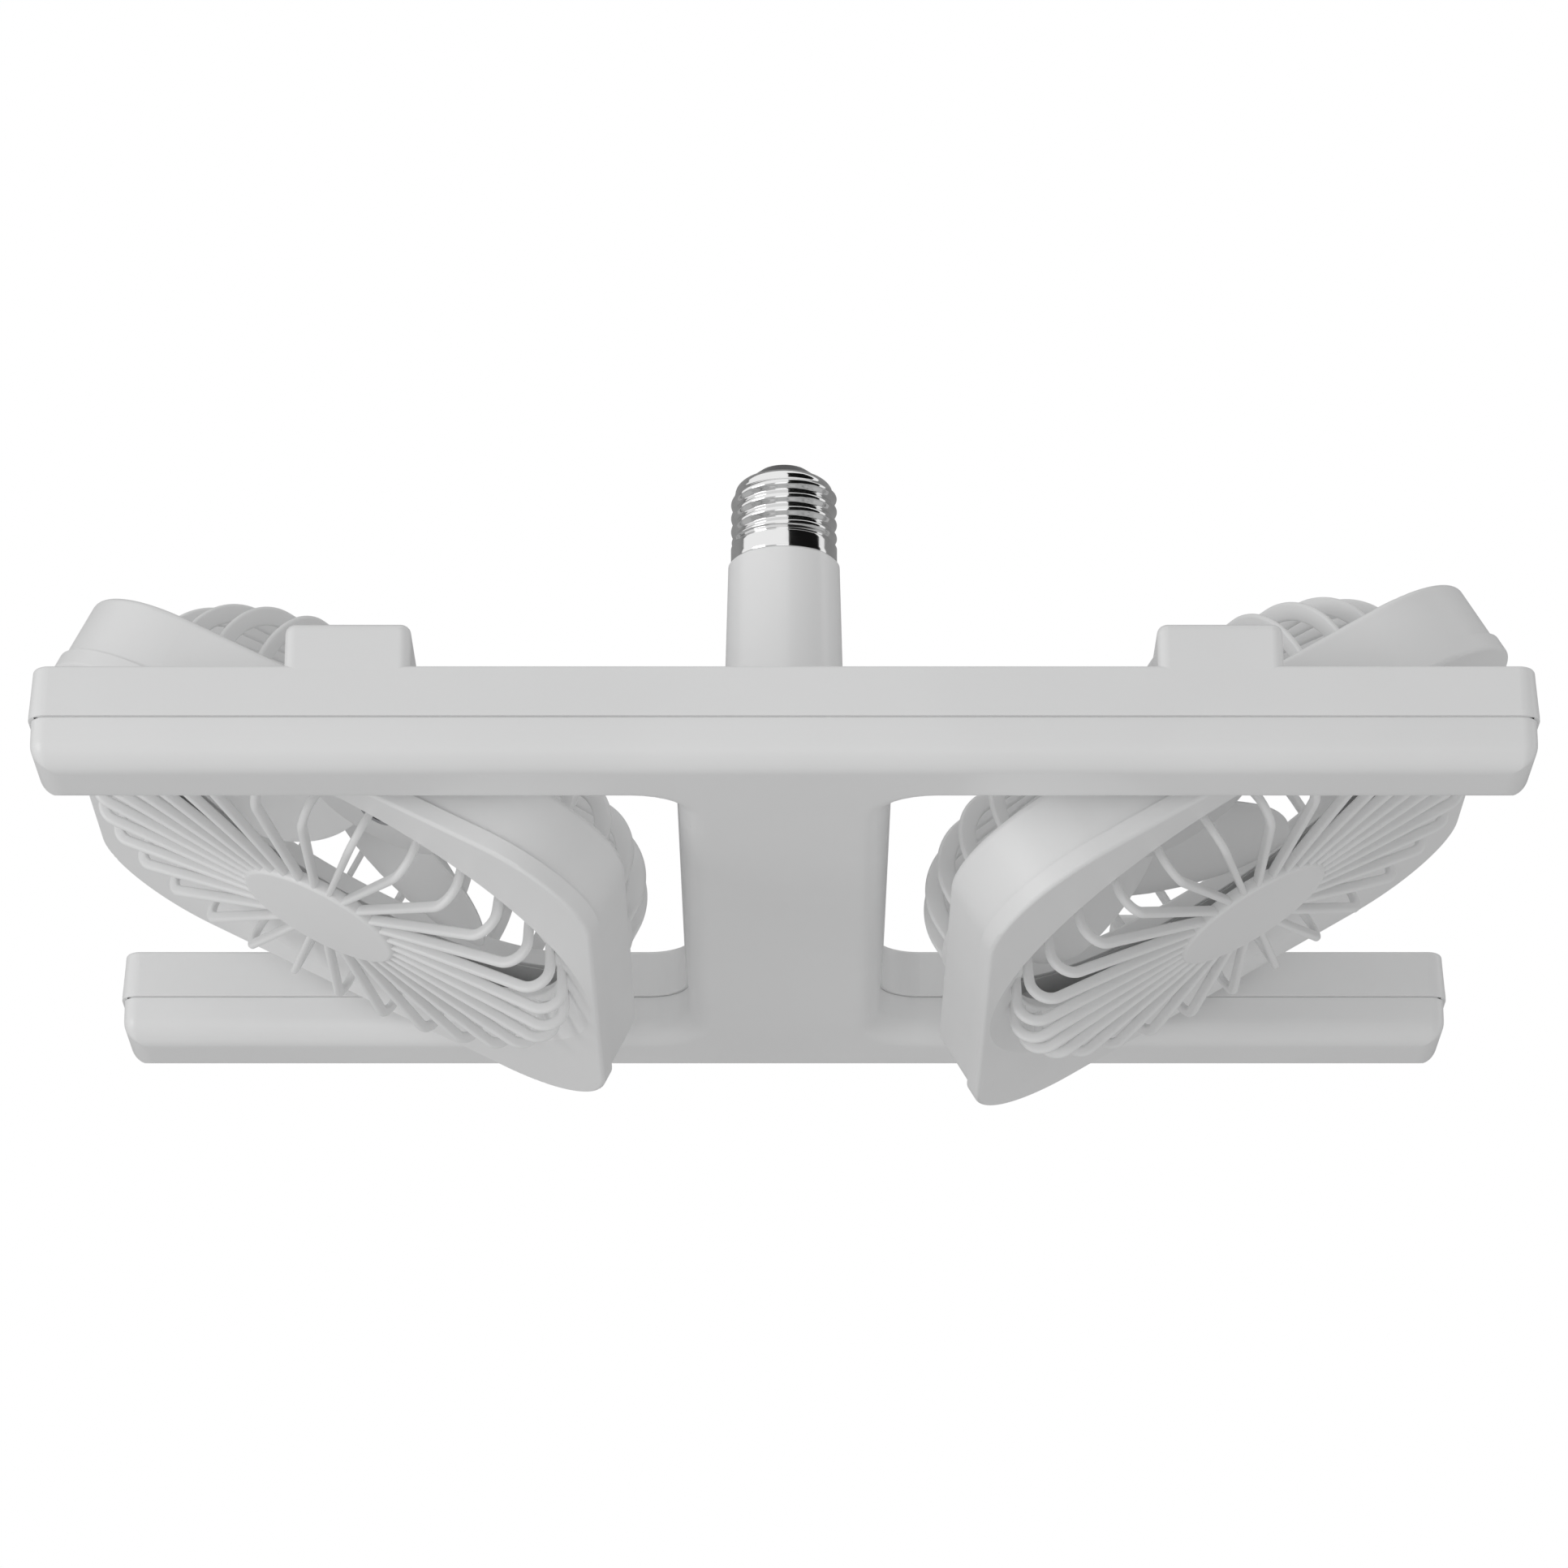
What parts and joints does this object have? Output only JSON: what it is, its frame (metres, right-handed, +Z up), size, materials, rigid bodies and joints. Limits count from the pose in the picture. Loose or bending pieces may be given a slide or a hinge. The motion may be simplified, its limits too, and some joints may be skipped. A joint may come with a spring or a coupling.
{
  "type": "ceiling fan",
  "caption": "H-shaped ceiling light on a screw cap and stem, with tilting square fan heads hung in its side bays behind radial grilles.",
  "frame": {"origin": "on the screw cap's axis, at the foot of its plain skirt where the stem begins", "axes": "+Z up along the cap into the lamp holder, +X along the bars, +Y from the front bar to the rear bar"},
  "size_m": [0.3444, 0.222, 0.149],
  "materials": {
    "white_housing": "moulded, satin",
    "opal_cover": "opal, fine gloss",
    "head_plastic": "moulded, fine matt",
    "grille_plastic": "moulded, fine matt",
    "impeller_plastic": "moulded, fine matt",
    "nickel_cap": "bright nickel plate",
    "cap_glass": "black, glossy",
    "lead_sleeve": "silicone sleeve",
    "board": "solder resist",
    "light_board": "white solder resist",
    "terminal_plastic": "moulded",
    "core_tape": "tape wrap",
    "capacitor_sleeve": "shrink sleeve",
    "phosphor": "phosphor gel",
    "zinc_screw": "zinc plate",
    "bush_plastic": "acetal",
    "pivot_steel": "turned",
    "spring_steel": "sheared",
    "motor_alloy": "die cast",
    "lamination": "epoxy coated",
    "copper_wire": "enamelled wire",
    "rotor_steel": "drawn",
    "magnet": "bonded ferrite"
  },
  "bodies": {
    "frame": {"upper_housing": "white_housing", "lower_cover": "opal_cover", "stem": "white_housing", "screw_shell": "nickel_cap", "cap_insulator": "cap_glass", "centre_contact": "nickel_cap", "mains_leads": "lead_sleeve", "driver_board": "board", "terminal_block": "terminal_plastic", "transformer": "core_tape", "capacitors": "capacitor_sleeve", "led_board_front": "light_board", "led_board_rear": "light_board", "led_chips": "phosphor", "board_posts": "white_housing", "housing_screws": "zinc_screw", "stem_screws": "zinc_screw", "board_screws": "zinc_screw", "pivot_bushes": "bush_plastic"},
    "left_head": {"head_shell_left": "head_plastic", "front_bezel_left": "head_plastic", "front_grille_left": "grille_plastic", "rear_grille_left": "grille_plastic", "pivot_pins_left": "pivot_steel", "friction_washers_left": "spring_steel", "lock_nuts_left": "pivot_steel", "head_screws_left": "zinc_screw", "grille_screws_left": "zinc_screw", "motor_base_left": "motor_alloy", "motor_bearings_left": "pivot_steel", "stator_left": "lamination", "windings_left": "copper_wire", "motor_screws_left": "zinc_screw"},
    "left_fan": {"impeller_left": "impeller_plastic", "rotor_cup_left": "rotor_steel", "rotor_magnet_left": "magnet", "fan_shaft_left": "pivot_steel"},
    "right_head": {"head_shell_right": "head_plastic", "front_bezel_right": "head_plastic", "front_grille_right": "grille_plastic", "rear_grille_right": "grille_plastic", "pivot_pins_right": "pivot_steel", "friction_washers_right": "spring_steel", "lock_nuts_right": "pivot_steel", "head_screws_right": "zinc_screw", "grille_screws_right": "zinc_screw", "motor_base_right": "motor_alloy", "motor_bearings_right": "pivot_steel", "stator_right": "lamination", "windings_right": "copper_wire", "motor_screws_right": "zinc_screw"},
    "right_fan": {"impeller_right": "impeller_plastic", "rotor_cup_right": "rotor_steel", "rotor_magnet_right": "magnet", "fan_shaft_right": "pivot_steel"}
  },
  "joints": [
    {"name": "left_head_tilt", "type": "hinge", "parent": "frame", "child": "left_head", "pos_m": [-0.1045, 0, -0.0754], "axis": [0, 1, 0], "range_deg": [-116.8, 63.2]},
    {"name": "right_head_tilt", "type": "hinge", "parent": "frame", "child": "right_head", "pos_m": [0.1045, 0, -0.0754], "axis": [0, -1, 0], "range_deg": [-120.7, 59.3]},
    {"name": "left_fan_spin", "type": "hinge", "parent": "left_head", "child": "left_fan", "pos_m": [-0.1045, 0, -0.0754], "axis": [-0.4509, 0, -0.8926], "continuous": true},
    {"name": "right_fan_spin", "type": "hinge", "parent": "right_head", "child": "right_fan", "pos_m": [0.1045, 0, -0.0754], "axis": [0.5105, 0, -0.8599], "continuous": true}
  ]
}
